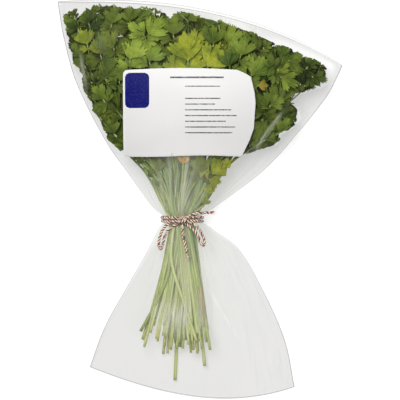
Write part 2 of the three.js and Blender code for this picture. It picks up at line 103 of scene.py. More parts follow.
def along(v):
    """The stations' values at v, on smooth curves through them."""
    v = np.asarray(v, float)
    at = STATIONS[:, 0]
    last = len(at) - 1
    j = np.arange(len(at))
    before, after = np.maximum(j - 1, 0), np.minimum(j + 1, last)
    slopes = (STATIONS[after] - STATIONS[before]) / (at[after] - at[before])[:, None]
    k = np.clip(np.searchsorted(at, v) - 1, 0, last - 1)
    span = (at[k + 1] - at[k])[..., None]
    s = (v[..., None] - at[k][..., None]) / span
    values = (1 + 2 * s) * (1 - s) ** 2 * STATIONS[k] + s * s * (3 - 2 * s) * STATIONS[k + 1]
    values += s * (1 - s) ** 2 * span * slopes[k] - s * s * (1 - s) * span * slopes[k + 1]
    return np.moveaxis(values, -1, 0)


def plan_of(u, v):
    """The plan position of (u, v)."""
    u = np.asarray(u, float)
    _, left_x, left_y, right_x, right_y, bow = along(v)[:6]
    across = (u + 1) / 2
    bulge = bow * (1 - u * u) * (1 + 0.2 * u)
    return lerp(left_x, right_x, across), lerp(left_y, right_y, across) + bulge


def sleeve_of(x, y):
    """The (u, v) of a plan position, by halving the stretch of v that it can lie in."""
    x, y = np.asarray(x, float), np.asarray(y, float)
    low, high = np.full(x.shape, -1.0), np.full(x.shape, 1.0)
    for _ in range(20):
        v = (low + high) / 2
        row = along(v)
        u = np.clip(2 * (x - row[1]) / (row[3] - row[1]) - 1, -1.2, 1.2)
        below = plan_of(u, v)[1] < y
        low, high = np.where(below, v, low), np.where(below, high, v)
    return u, (low + high) / 2


def film_heights(u, v):
    """Heights of the outside of the back and the front film at (u, v)."""
    front, back, edge, crown, belly, lean = along(v)[6:]
    shifted = np.clip((u - lean) / (1 - lean * u), -1, 1)
    dome = np.maximum(1 - u * u, 0)
    flatness = smooth(0.04, 0.25, np.abs(v))
    wing = SIDE_GAP * flatness
    top = edge + wing * dome**0.35 + (front - edge - wing) * (1 - shifted * shifted) ** crown
    bottom = edge - (edge - back) * np.minimum(1, lerp(1, 1.25, flatness) * dome**belly)
    return np.maximum(0, bottom), top


def level_height(u, v, t):
    """Height of level t at (u, v)."""
    back, front = film_heights(np.clip(u * 1.03, -WIDEST, WIDEST), v)
    low, high = back + FILM + AIR, front - FILM - AIR
    x, y = plan_of(u, v)
    turn = 2 * math.pi / RIPPLE_LENGTH
    wave = np.sin(turn * (x + 0.4 * y) + 1) * np.cos(turn * (y - 0.3 * x))
    fade = 4 * t * (1 - t) * smooth(0.2, 0.5, v) * (1 - u * u)
    return lerp(low, high, t) + RIPPLE * wave * fade


# ---- meshes ----


def for_each(value, count):
    """One value, or count of them, as an array of count."""
    return np.broadcast_to(np.asarray(value, float).ravel(), (count,))


class Shape:
    """Points and faces that grow into one mesh, with values per point and a material per face."""

    def __init__(self, *values):
        self.points, self.faces, self.materials = [], [], []
        self.values = {name: [] for name in values}
        self.count = 0

    def add(self, points, faces, material=0, **values):
        points = np.asarray(points, float).reshape(-1, 3)
        self.points.append(points)
        self.faces.extend([k + self.count for k in face] for face in faces)
        self.materials.extend([material] * len(faces))
        for name, held in self.values.items():
            held.append(for_each(values.get(name, 0.0), len(points)))
        self.count += len(points)

    def object(self, name, materials):
        mesh = bpy.data.meshes.new(name)
        mesh.from_pydata((np.concatenate(self.points) * MM).tolist(), [], self.faces)
        for material in materials:
            mesh.materials.append(material)
        mesh.polygons.foreach_set("material_index", self.materials)
        mesh.polygons.foreach_set("use_smooth", [True] * len(self.faces))
        for value, held in self.values.items():
            layer = mesh.attributes.new(value, "FLOAT", "POINT")
            layer.data.foreach_set("value", np.concatenate(held).astype(np.float32))
        mesh.update()
        piece = bpy.data.objects.new(name, mesh)
        scene.collection.objects.link(piece)
        return piece


def grid_faces(rows, columns, is_loop=False):
    """Quads over rows by columns of points; with is_loop the last column joins the first."""
    at = np.arange(rows * columns).reshape(rows, columns)
    if is_loop:
        at = np.hstack([at, at[:, :1]])
    quads = np.stack([at[:-1, :-1], at[:-1, 1:], at[1:, 1:], at[1:, :-1]], axis=-1)
    return quads.reshape(-1, 4).tolist()


def smooth_path(points, step):
    """Points about step apart on a smooth curve through the given ones."""
    points = np.asarray(points, float)
    ends = np.vstack([2 * points[0] - points[1], points, 2 * points[-1] - points[-2]])
    path = []
    for k in range(len(points) - 1):
        a, b, c, d = ends[k:k + 4]
        count = max(1, round(np.linalg.norm(c - b) / step))
        for s in np.arange(count) / count:
            path.append(0.5 * (2 * b + (c - a) * s + (2 * a - 5 * b + 4 * c - d) * s * s
                               + (3 * b - a - 3 * c + d) * s ** 3))
    path.append(points[-1])
    return np.array(path)


def ahead(place, heading, length):
    """The plan position length away from a place; a heading of 0 is up, and above 0 to the right."""
    return place[0] + length * np.sin(heading), place[1] + length * np.cos(heading)


def frames_of(path, is_loop=False):
    """Two directions across the path at each of its points, that don't twist along it."""
    tangent = np.gradient(path, axis=0)
    if is_loop:
        tangent = np.roll(path, -1, axis=0) - np.roll(path, 1, axis=0)
    tangent /= np.linalg.norm(tangent, axis=1)[:, None]
    first = np.cross(tangent[0], [0, 0, 1] if abs(tangent[0][2]) < 0.9 else [1, 0, 0])
    normal = [first / np.linalg.norm(first)]
    for t in tangent[1:]:
        n = normal[-1] - t * np.dot(normal[-1], t)
        normal.append(n / np.linalg.norm(n))
    normal = np.array(normal)
    return normal, np.cross(tangent, normal)


def tube(path, radii, sides, ridge=0.0, is_loop=False):
    """Rings of points round a path, and their faces. ridge makes alternate points stand out."""
    path = np.asarray(path, float)
    across, up = frames_of(path, is_loop)
    angle = 2 * math.pi * np.arange(sides) / sides
    reach = for_each(radii, len(path))[:, None]
    reach = reach * (1 + ridge * np.where(np.arange(sides) % 2 == 0, 1, -1))
    ring = across[:, None] * np.cos(angle)[None, :, None] + up[:, None] * np.sin(angle)[None, :, None]
    points = path[:, None] + ring * reach[..., None]
    faces = grid_faces(len(path), sides, True)
    if is_loop:
        last = (len(path) - 1) * sides
        faces += [[last + k, last + (k + 1) % sides, (k + 1) % sides, k] for k in range(sides)]
    else:
        faces += [list(range(sides))[::-1], [(len(path) - 1) * sides + k for k in range(sides)]]
    return points.reshape(-1, 3), faces


# ---- materials ----

CLEAR = 0.145  # how much even the clearest film veils


class Nodes:
    """A material whose nodes are added by short calls."""

    def __init__(self, name):
        self.material = bpy.data.materials.new(name)
        self.material.use_nodes = True
        self.tree = self.material.node_tree
        self.tree.nodes.clear()
        self.shader = self.add("ShaderNodeBsdfPrincipled")
        self.add("ShaderNodeOutputMaterial", Surface=self.shader.outputs["BSDF"])

    def feed(self, socket, given):
        """Join another node's socket to this one, or set its value."""
        if isinstance(given, bpy.types.NodeSocket):
            self.tree.links.new(given, socket)
        else:
            socket.default_value = (*given, 1) if socket.type == "RGBA" else given

    def add(self, kind, **settings):
        """A new node, with its sockets and settings given by name."""
        node = self.tree.nodes.new(kind)
        for name, given in settings.items():
            if name in node.inputs:
                self.feed(node.inputs[name], given)
            else:
                setattr(node, name, given)
        return node

    def set(self, name, given):
        """Give the surface itself a value, a colour or a socket."""
        self.feed(self.shader.inputs[name], given)

    def value(self, name):
        """The mesh's own value of that name."""
        return self.add("ShaderNodeAttribute", attribute_name=name).outputs["Fac"]

    def mix(self, factor, a, b, blend="MIX"):
        """Colour a where factor is 0 and b where it is 1."""
        node = self.add("ShaderNodeMix", data_type="RGBA", blend_type=blend)
        for k, given in ((0, factor), (6, a), (7, b)):
            self.feed(node.inputs[k], given)
        return node.outputs[2]

    def math(self, operation, a, b=0.0, clamp=False):
        node = self.add("ShaderNodeMath", operation=operation, use_clamp=clamp)
        for k, given in enumerate((a, b)):
            self.feed(node.inputs[k], given)
        return node.outputs[0]

    def noise(self, scale, detail=3.0, stretch=(1, 1, 1), coordinates="Object"):
        place = self.add("ShaderNodeTexCoord").outputs[coordinates]
        place = self.add("ShaderNodeMapping", Vector=place, Scale=stretch).outputs[0]
        return self.add("ShaderNodeTexNoise", Vector=place, Scale=scale, Detail=detail).outputs["Fac"]

    def ranged(self, value, low, high, to_low=0.0, to_high=1.0):
        """The value, stretched and clamped so that low gives to_low and high gives to_high."""
        ends = {"From Min": low, "From Max": high, "To Min": to_low, "To Max": to_high}
        return self.add("ShaderNodeMapRange", Value=value, **ends).outputs[0]

    def bump(self, height, strength, distance):
        node = self.add("ShaderNodeBump", Height=height, Strength=strength, Distance=distance)
        self.set("Normal", node.outputs["Normal"])


def srgb(*levels):
    """Linear colour of an sRGB colour given from 0 to 255."""
    return tuple(((c / 255 + 0.055) / 1.055) ** 2.4 if c > 10 else c / 255 / 12.92 for c in levels)


def leaf_material():
    """Green from dark to light by tone, which also carries the leaves' painted shade, then yellow up to
    1, and brown from there on to 2.
    """
    nodes = Nodes("parsley_leaf")
    tone, yellow, vein = nodes.value("tone"), nodes.value("yellow"), nodes.value("vein")
    mottle = nodes.noise(330, 4)
    patch = nodes.noise(70, 3)
    colour = nodes.mix(tone, srgb(10, 25, 1), srgb(132, 156, 62))
    colour = nodes.mix(yellow, colour, srgb(155, 160, 42))
    colour = nodes.mix(nodes.math("SUBTRACT", yellow, 1.0, clamp=True), colour, srgb(222, 150, 84))
    colour = nodes.mix(nodes.ranged(patch, 0.42, 0.66, 0, 0.6), colour, srgb(42, 68, 8))
    colour = nodes.mix(nodes.math("MULTIPLY", vein, 0.4), colour, srgb(170, 194, 92))
    shade = nodes.ranged(mottle, 0.3, 0.7, 0.72, 1.2)
    colour = nodes.mix(1.0, colour, nodes.mix(shade, (0, 0, 0), (1, 1, 1)), "MULTIPLY")
    nodes.set("Base Color", colour)
    nodes.set("Roughness", nodes.ranged(mottle, 0.2, 0.8, 0.4, 0.58))
    nodes.set("Specular IOR Level", 0.1)
    nodes.bump(nodes.math("SUBTRACT", mottle, nodes.math("MULTIPLY", vein, 0.6)), 0.6, 0.0005)
    return nodes.material


def stalk_material():
    """Pale at the cut and green further up, by tone; yellow and brown as on the leaves."""
    nodes = Nodes("parsley_stalk")
    rise, yellow = nodes.value("tone"), nodes.value("yellow")
    fibre = nodes.noise(900, 3, (1, 0.06, 1))
    patch = nodes.noise(40, 2)
    colour = nodes.mix(rise, srgb(198, 204, 140), srgb(80, 114, 28))
    colour = nodes.mix(yellow, colour, srgb(186, 178, 96))
    colour = nodes.mix(nodes.ranged(patch, 0.4, 0.65, 0, 0.5), colour, srgb(142, 168, 66))
    pale = nodes.math("MULTIPLY", nodes.ranged(fibre, 0.42, 0.62, 0, 0.5),
                      nodes.ranged(rise, 0.3, 1, 1, 0.35))
    colour = nodes.mix(pale, colour, srgb(206, 213, 150))
    colour = nodes.mix(nodes.math("SUBTRACT", yellow, 1.0, clamp=True), colour, srgb(136, 112, 56))
    nodes.set("Base Color", colour)
    nodes.set("Roughness", 0.42)
    nodes.bump(fibre, 0.5, 0.0005)
    return nodes.material


def film_material():
    nodes = Nodes("clear_film")
    haze, edge = nodes.value("haze"), nodes.value("edge")
    streak = nodes.noise(7, 5, (9, 1.2, 1), "UV")
    fine = nodes.noise(30, 4, (9, 0.5, 1), "UV")
    crinkle = nodes.noise(120, 4)
    # evenly clear with the film's own grey tint; where the painted sheen lies, paler and in painted
    # glare lines
    painted_sheen = nodes.math("SUBTRACT", haze, CLEAR, clamp=True)
    colour = nodes.mix(nodes.ranged(painted_sheen, 0.0, 0.08), srgb(96, 91, 80), srgb(202, 204, 186))
    # painted reflection: a grey line along the film's folds and cut ends, where the film is seen edge-on
    nodes.set("Base Color", nodes.mix(edge, colour, srgb(112, 113, 114)))
    glare_streaks = nodes.math("MULTIPLY", nodes.ranged(streak, 0.4, 0.64, 0.15, 2.0),
                         nodes.ranged(fine, 0.4, 0.62, 0.4, 1.6))
    veil = nodes.math("ADD", nodes.math("MINIMUM", haze, CLEAR), nodes.math("MULTIPLY", painted_sheen, glare_streaks))
    alpha = nodes.math("ADD", veil, nodes.math("MULTIPLY", edge, 0.5), clamp=True)
    nodes.set("Alpha", alpha)
    nodes.set("Roughness", 0.18)
    nodes.set("Specular IOR Level", 0.2)
    nodes.bump(nodes.math("ADD", crinkle, streak), 0.3, 0.001)
    return nodes.material


def paper_material():
    nodes = Nodes("label_paper")
    grain = nodes.noise(1400, 3)
    cloud = nodes.noise(22, 2)
    colour = nodes.mix(nodes.ranged(cloud, 0.3, 0.7), srgb(214, 213, 211), srgb(208, 207, 206))
    colour = nodes.mix(nodes.value("rim"), colour, srgb(236, 236, 236))
    nodes.set("Base Color", colour)
    nodes.set("Roughness", 0.5)
    nodes.bump(grain, 0.2, 0.0002)
    return nodes.material


def ink_material(name, colour, patchy):
    """Ink that lets the paper through in small patches, by the share patchy."""
    nodes = Nodes(name)
    worn = nodes.ranged(nodes.noise(700, 3), 0.45, 0.75, 0, patchy)
    nodes.set("Base Color", nodes.mix(worn, colour, srgb(232, 230, 230)))
    nodes.set("Roughness", 0.5)
    nodes.set("Specular IOR Level", 0.1)
    return nodes.material


def twine_material(name, colour, pale, fleck):
    """A thread with pale fibres and small flecks of another colour."""
    nodes = Nodes(name)
    fibre = nodes.noise(1500, 4)
    colour = nodes.mix(nodes.ranged(fibre, 0.35, 0.7), colour, pale)
    colour = nodes.mix(nodes.ranged(nodes.noise(420, 2), 0.52, 0.6), colour, fleck)
    nodes.set("Base Color", colour)
    nodes.set("Roughness", 0.85)
    nodes.set("Sheen Weight", 0.3)
    nodes.bump(fibre, 0.7, 0.0006)
    return nodes.material


# ---- the leafy stems ----

ROWS = [3, 4, 5, 5, 4, 3]  # stems in each row at the waist, from the back to the front
LEVELS = {3: [0, 2, 1], 4: [1, 2, 0, 2], 5: [0, 2, 1, 0, 2]}  # of a row's three levels, each stem's own
FOOT_SHIFT = [-4, 5.6, -7, 6.5, -10.9, 11.4]  # how far to the right of the waist each row's feet are
SPLAY = [0, 0, -9.5, 1, -5, 0]  # how far each row's outermost stem bends out, to the left if below 0
TIED_Y, CUT_Y = -14, -100  # where the stems are tied together, and about where they are cut
CUT_LONGER = {1: 36, 6: 25, 7: 5}  # how far past CUT_Y some stems reach
STEM_STEP, ROW_STEP, FOOT_STEP = 3.9, 3.1, 5.8  # between stems and rows at the waist, and between feet
LEVEL_AT_V = 0.36  # the v from which a stem is on its own level
END_SIZE, SIDE_SIZE = 29, (22, 28.6)  # sizes of a stem's end division and its two side divisions
SIDE_DROP, BRANCH = 26, 9  # how far below its tip a stem forks, and how long the two branches are
LENGTH_PER_V = 165  # millimetres to a unit of v
FRONT_LEVEL = 0.985  # the level of the leaves right under the front film
BESIDE = (1.95, -0.9, 1.1)  # how far beside their stem its first side stalks start
WAIST = (-13.3, 14.4)  # x and height of its middle

# how far left and right the leaves reach at each y, and how far up the sleeve at each u
LEAVES_Y = [7.5, 15, 18.8, 22.5, 30, 37, 41.2, 45, 48.8, 52.5, 56.2, 60, 63.8, 67.5, 71.2, 75, 78.8,
    80.5, 84, 88, 93.8, 97.5, 102, 111, 120, 129, 142]
LEAVES_LEFT = [-33, -37.5, -41, -44, -53, -61, -65.5, -70, -72, -73.5, -75, -78, -80.5, -82.5, -83.5,
    -84.5, -87, -88, -90.5, -90.5, -89.5, -91.5, -96.5, -99, -100.5, -104, -106]
LEAVES_RIGHT = [14, 19, 22, 25, 28, 45, 57.5, 60.5, 60.5, 67, 72.5, 76, 76, 74.5, 71, 68.5, 62, 79, 92,
    99] + [200] * 7
LEAVES_U = [-1, -0.89, -0.82, -0.7, -0.68, -0.63, -0.55, -0.48, -0.36, -0.25, 0.03, 0.25, 0.39, 0.45,
    0.61, 0.72, 0.89, 0.94, 1]
LEAVES_TOP = [0.985, 0.985, 0.992, 0.996, 0.99, 0.996, 0.994, 0.99, 0.994, 0.986, 0.982, 0.972, 0.962,
    0.934, 0.93, 0.922, 0.93, 0.905, 0.82]

# leaves right under the front film: base, heading in degrees, size, tone, yellowness
FRONT_LEAVES = [
    (-84, 115.5, -10, 15, 0.8, 0.6), (-51.8, 103.5, 5, 20, 0.95, 0.25),
    (-38.6, 121.9, 38, 19, 0.9, 0.2), (-41, 121.5, -42, 16, 0.8, 0.2), (-37.5, 102, 12, 16, 0.7, 0.1),
    (-9, 102, -2, 23, 0.9, 0.85), (5.3, 97.5, 22, 22, 0.8, 0.8), (-18, 95, -35, 14, 0.8, 0.9),
    (30, 106.5, 25, 17, 0.55, 0.1), (37.5, 91.5, 42, 19, 0.55, 0.1), (66, 104, 112, 28, 0.42, 0.05),
    (58, 97, 55, 20, 0.3, 0.05), (60, 91.5, 125, 18, 0.62, 0.2), (52, 70, 62, 13, 0.5, 0.1),
    (59, 50, 22, 19, 0.5, 0.1), (46.5, 60, 184, 18, 0.4, 0.05), (49, 45, 60, 13, 0.35, 0.1),
    (9, 19, 38, 20, 0.85, 0.9), (18, 25, 66, 13, 0.8, 0.8), (6, 4, 16, 9, 0.7, 0.8),
    (3, -4, 14, 7, 0.5, 0.6), (-43, 27, -48, 12, 0.25, 0.1), (-36, 17, -42, 10, 0.35, 0.1),
    (-12.8, 26.5, 0, 10, 0.9, 1.8), (-72, 75, -50, 17, 0.5, 0.1), (-75, 62, -18, 15, 0.4, 0.1),
    (-64, 49, -12, 17, 0.35, 0.1), (-81, 88, -62, 14, 0.2, 0), (43, 85, 100, 8, 0.4, 1.4),
    (-60, 88, 30, 17, 0.45, 0.1), (-66, 131, 20, 16, 0.4, 0.1), (-83, 132, -12, 15, 0.15, 0),
    (-91, 128, -70, 12, 0.1, 0), (-31, 10, -30, 8, 0.35, 0.1), (-30, 22, -12, 9, 0.3, 0.2),
    (-74, 108, 0, 17, 0.4, 0.1), (-64, 113, -25, 16, 0.45, 0.15), (1, 20, 8, 15, 0.3, 0.2),
    (84, 92, 104, 15, 0.2, 0), (80, 99, 66, 14, 0.15, 0), (-86, 100, -40, 14, 0.3, 0.05),
    (-94, 138, -30, 12, 0.2, 0), (-78, 140, 5, 13, 0.35, 0.1), (-52, 132, -20, 15, 0.3, 0.1),
    (-80, 76, -75, 12, 0.2, 0), (22, 98, -20, 15, 0.25, 0), (-70, 90, 10, 16, 0.3, 0.05),
    (-20, 122, 10, 17, 0.4, 0.15), (10, 115, -8, 15, 0.3, 0.1), (47, 113, 60, 17, 0.3, 0.05),
]

STALK_Y, STALK_RISE = [-106, -88, 30], [-0.06, 0.32, 1.05]  # how green a stalk is from its cut upwards

# loose stalks below the waist, by the stem that holds them: route, radius, tone and yellowness
LOOSE_STALKS = {
    17: [([(-21, -15, 20), (-22.5, -48, 20), (-30, -71, 18.5), (-44.5, -98.5, 12.5)], 1.15, 0.6, 0)],
    21: [([(-19, -15, 22.6), (-21.3, -45, 22.8), (-12, -77, 21.4), (-2.6, -105.5, 18)], 1.1, 0.05, 0.1)],
    23: [([(-8.5, -15, 17), (-4, -46, 17), (1.8, -70, 20), (3.2, -95, 19.8)], 1.2, 0, 2),
         ([(-9.5, -15, 17), (-5, -44, 17), (-1.2, -68, 20.5), (0.4, -87, 20.1)], 1.1, 0, 1.8)],
}


def stem_layout(q, p, index):
    """Where stem p of row q runs, and its level, as in the part."""
    count = ROWS[q]
    middle = (count - 1) / 2
    side = (p - middle) / middle
    if (q + p) % 2 == 0:
        reach = [0.96, 0.93][p % 2]
    else:
        reach = [0.68, 0.8, 0.74][(q + 2 * p) % 3] + 0.07 * max(0, side)
    return dict(
        index=index,
        waist=(WAIST[0] + (p - middle) * STEM_STEP, WAIST[1] + (q - (len(ROWS) - 1) / 2) * ROW_STEP),
        foot=(WAIST[0] + FOOT_SHIFT[q] + (p - middle) * FOOT_STEP, 2.9 + q * ROW_STEP),
        cut=CUT_Y - CUT_LONGER.get(index, lerp(-4, 7, draw(index, 0))),
        splay=SPLAY[q] if p == (0 if SPLAY[q] < 0 else count - 1) else 0,
        gather=-0.13 + 0.55 * side * count / 5 + (0.035 if q < 3 else -0.035),
        fan=-0.05 + 0.87 * side * count / (count + 0.5) + 0.1 * (draw(index, 1) - 0.5),
        reach=reach - 0.02 * draw(index, 2),
        level=lerp(0.045, 0.955, (q * 3 + LEVELS[count][p] + 0.5) / (3 * len(ROWS))),
        row=q,
    )


def stem_u(stem, v, top):
    """The stem's u at v: from the waist it gathers towards its bundle, and then it fans out."""
    waist_u = (stem["waist"][0] - WAIST[0]) / 13
    gathered = lerp(waist_u, stem["gather"], smooth(0, 0.3, v))
    return lerp(gathered, stem["fan"], smooth(0.21, top, v))


def stem_point(stem, v, top):
    """A point of the stem above the waist."""
    u = stem_u(stem, v, top)
    x, y = plan_of(u, v)
    z = lerp(stem["waist"][1], level_height(u, v, stem["level"]), smooth(0, LEVEL_AT_V, v))
    return [x, y, z]


def foot_point(stem, y):
    """A point of the stem below the waist."""
    share = (TIED_Y - y) / (TIED_Y - CUT_Y)
    return [lerp(stem["waist"][0], stem["foot"][0], share) + stem["splay"] * share * share, y,
            lerp(stem["waist"][1], stem["foot"][1], min(share, 1))]


def height_on(level, x, y):
    u, v = sleeve_of(x, y)
    return level_height(u, v, level)


def leaf_outline(random, depth):
    """Places from -1 to 1 across a leaflet of three toothed lobes, and at each its reach, its vein and
    the place across its lobe. depth is how far out the gaps between the lobes begin."""
    side_length = random.uniform(0.72, 0.92)
    stretches = [[[-1], [0.5 * side_length], [0], [1]]]
    for lobe, (middle, half) in enumerate(((-0.67, 0.3), (0.0, 0.32), (0.67, 0.3))):
        teeth = 3 if lobe != 1 else random.choice([3, 5])
        length = 1.0 if lobe == 1 else side_length
        notch = random.uniform(0.1, 0.19)
        inside = np.append(np.tile([0, 0.26, 0.5, 0.74], teeth), 0.0)
        w = 2 * (np.repeat(np.arange(teeth + 1), 4)[:4 * teeth + 1] + inside) / teeth - 1
        tooth = length * (1 - 0.22 * np.abs(w) ** 2.4) * (1 - notch * np.abs(2 * inside - 1) ** 1.4)
        across = middle + half * (w + random.uniform(-0.12, 0.12) * (1 - w * w))
        reach = tooth * np.repeat(random.uniform(0.93, 1.04, teeth + 1), 4)[:4 * teeth + 1]
        vein = np.where(inside == 0.5, np.where(np.abs(w) < 0.01, 1.0, 0.45), 0.0)
        stretches.append([across, reach, vein, np.abs(w)])
        if lobe < 2:
            stretches.append([[middle + half + 0.025], [random.uniform(0.95, 1.25) * depth], [0], [1]])
    stretches.append([[1], [0.5 * side_length], [0], [1]])
    return np.concatenate(stretches, axis=1)


SHORTER = 0.91 ** np.arange(20)[:, None]  # shares of its length that each line of a leaflet is tried at
RHO = np.array([0.02, 0.2, 0.4, 0.6, 0.8, 1.0])[:, None]  # a leaflet's rings, from its base to its rim
NOTCHES = np.random.default_rng(3).uniform(0, 1, 160) ** 2  # how deeply the bunch's border is notched
NOTCH_STEP = 2.6


def is_outside(x, y, margin=0.0):
    """Whether plan positions lie beyond the film or the bunch's ragged border."""
    u, v = sleeve_of(x, y)
    top = np.interp(u, LEAVES_U, LEAVES_TOP)
    place = np.arange(len(NOTCHES))
    notch = np.interp(x / NOTCH_STEP + 80, place, NOTCHES)
    side_notch = np.interp(y / NOTCH_STEP + 60, place, NOTCHES)
    left = np.interp(y, LEAVES_Y, LEAVES_LEFT) + 200 * margin + 3 * side_notch
    right = np.interp(y, LEAVES_Y, LEAVES_RIGHT) - 200 * margin - 3 * side_notch
    is_past_film = np.abs(u) > 0.986 - margin - 0.02 * side_notch
    return is_past_film | (v > top - margin - 0.02 * notch) | (x > right) | (x < left)


def leaflet(shape, level, base, heading, size, spread, seed, tone, yellow, top_gap=1.4, depth=0.54):
    """One leaflet, on a level and inside the film. It is cut back where it would cross the bunch's
    border, and left out where too little of it would remain."""
    random = np.random.default_rng(seed)
    across, reach, vein, lobe_side = leaf_outline(random, depth)
    reach = reach * size
    turn = heading + across * spread * (0.55 + 0.45 * smooth(0, 0.6, RHO))
    turn = turn + random.uniform(-0.3, 0.3) * RHO
    margin = random.uniform(0, 0.01)
    for _ in range(2):
        inside = ~is_outside(*ahead(base, turn[-1], SHORTER * reach), margin)
        inside[-1] = True
        kept = SHORTER[np.argmax(inside, axis=0), 0]
        if np.median(kept) > 0.6:
            break
        reach = reach * max(0.45, np.median(kept) / 0.85)
    if kept.mean() < 0.4:
        return
    reach = reach * np.minimum(kept, max(0.74, kept.min()))
    x, y = ahead(base, turn, RHO * reach)
    u, v = sleeve_of(x, y)
    fold, roll, droop = random.uniform(-4, 5), random.uniform(-5.6, 5.6), random.uniform(-5, 2.6)
    share = size / 20 * min(1, (1 - level) * 6 + 0.3)
    z = level_height(u, v, level) + 0.5 * RHO * (lobe_side**1.5 - 0.4)
    z = z + share * (RHO * (fold * across**2 + roll * across) + droop * RHO**2)
    z = z + share * 1.2 * RHO**2 * np.sin(5 * across + random.uniform(0, 6.3))
    back, front = film_heights(np.clip(u, -WIDEST, WIDEST), v)
    z = np.maximum(np.minimum(z, front - top_gap), back + LEAF_GAP)
    points = np.stack([x, y, z], axis=-1)
    veins = vein * np.clip(1.15 - RHO, 0, 1) * np.where(vein > 0.9, 1, RHO > 0.4)
    veins = np.maximum(veins, (RHO < 0.1) * 0.6)
    # painted light and shade: each leaflet is darker towards its base, where the leaves above shade it,
    # lighter along the middle of its lobes towards the rim, and one half darker than the other, as the
    # shaded side of a fold
    tones = tone + 0.08 + 0.1 * (1 - lobe_side) * RHO - 0.34 * (1 - RHO) ** 1.4
    tones = np.clip(tones + random.uniform(-0.17, 0.17) * across, 0, 1)
    shape.add(points, grid_faces(len(RHO), len(across)), tone=tones, yellow=yellow, vein=veins)


# a division's leaflets: turn in degrees, share of its size, how far up its stalk, half width in degrees
SPRIG = ((0, 0.78, 0.26, 47), (-56, 0.66, 0.1, 45), (57, 0.66, 0.1, 45),
         (-104, 0.5, 0, 42), (104, 0.5, 0, 42))
SPRIG_STALK = 0.36  # the length of its stalk, as a share of its size


def division(shape, level, foot, heading, size, seed, tone, yellow):
    """Five leaflets on a short forked stalk."""
    random = np.random.default_rng(seed)
    tip = ahead(foot, heading, SPRIG_STALK * size)
    for k, (turn, share, along_stalk, width) in enumerate(SPRIG):
        angle = heading + math.radians(turn + random.uniform(-12, 12))
        start = ahead(foot, heading, along_stalk * size)
        if is_outside(*start):
            continue
        leaflet(shape, level, start, angle, size * share * random.uniform(0.85, 1.15),
                math.radians(width * random.uniform(0.85, 1.15)), seed + 17 * k + 1,
                tone + random.uniform(-0.26, 0.27), yellow * random.uniform(0.5, 1.3))
    if not is_outside(*tip):
        path = smooth_path([[*foot[:2], foot[2] - 0.2], [*tip, height_on(level, *tip) - 0.4]], 2)
        stalk(shape, path, 0.45, 0.9, sides=5)


def stalk(shape, path, radii, tone, yellow=0.0, sides=7):
    """A slightly ridged round stalk along a path."""
    points, faces = tube(path, radii, sides, 0.06)
    tones = np.repeat(for_each(tone, len(path)), sides)
    shape.add(points, faces, material=1, tone=tones, yellow=yellow * (1 - 0.85 * tones))


def field_tone(x, y):
    """Tone and yellowness of the leaves about (x, y)."""
    light = math.exp(-(((x + 42) / 26) ** 2 + ((y - 118) / 20) ** 2))
    gold = math.exp(-(((x + 2) / 26) ** 2 + ((y - 106) / 15) ** 2))
    tone = 0.24 + 0.3 * light + 0.3 * gold - 0.12 * smooth(70, 95, abs(x)) - 0.12 * smooth(20, 50, x)
    return tone, 0.08 + 0.5 * gold


def side_stalk(shape, stem, top, end, level, random, beside=None):
    """A thin stalk that leaves the stem for end, a plan position. With beside, its distance to the
    right of the stem at the waist, it starts at the cut."""
    end_u, end_v = sleeve_of(*end)
    start_v = min(max(0.04, end_v - random.uniform(0.3, 0.62)), top - 0.05)
    start_v = max(0.02, min(start_v, end_v - 0.08))
    s = np.linspace(0, 1, 7)
    v = lerp(start_v, end_v, s)
    u = lerp(stem_u(stem, v, top), end_u, s**1.3)
    x, y = plan_of(u, v)
    x = np.where(y > 20, np.minimum(x, np.interp(y, LEAVES_Y, LEAVES_RIGHT) - 2), x)
    own_height = level_height(u, v, lerp(stem["level"], level, s**4))
    z = lerp(stem["waist"][1], own_height, smooth(0, LEVEL_AT_V, v))
    points = np.stack([x, y, z], axis=-1)
    radius = 1.0
    if beside is not None:
        radius = random.uniform(0.78, 1.0)
        cut = stem["cut"] if stem["index"] not in CUT_LONGER else CUT_Y
        low = [foot_point(stem, lerp(cut + random.uniform(-12, 14), TIED_Y, k)) for k in (0, 0.5, 0.97)]
        low += [stem_point(stem, k, top) for k in (0.06, 0.14, 0.24, 0.34) if k < start_v - 0.04]
        low = np.array(low, float)
        low[:, 0] += beside * np.interp(low[:, 1], [CUT_Y, TIED_Y, 20, 60], [1.5, 1, 1.1, 0.3])
        low[:, 2] += 0.9 - 0.4 * abs(beside)
        low[:2, 0] += random.uniform(-2.4, 2) * np.array([1, 0.4])
        share = np.clip((TIED_Y - low[:, 1]) / (TIED_Y - CUT_Y), 0, 1)
        low[:, 0] -= stem["splay"] * random.uniform(0, 0.9) * share**2
        points = np.vstack([low, points[1:]])
    path = smooth_path(points, 4)
    s = np.linspace(0, 1, len(path))
    path[:, 2] -= 6 * smooth(22, 60, path[:, 1]) * (1 - s**8) * min(1, level * 3)
    # above the waist it stays under the front film
    u, v = sleeve_of(path[:, 0], path[:, 1])
    under = film_heights(np.clip(u, -WIDEST, WIDEST), v)[1] - STALK_GAP
    path[:, 2] = np.maximum(np.where(v > 0.1, np.minimum(path[:, 2], under), path[:, 2]), 2)
    thick = radius * np.interp(path[:, 1], [CUT_Y, 0, 90], [1.1, 1.0, 0.5])
    rise = np.clip(np.interp(path[:, 1], STALK_Y, STALK_RISE) + random.uniform(-0.3, 0.36), 0, 1)
    stalk(shape, path, thick, rise, random.uniform(0, 1) ** 2, sides=6)
    return path


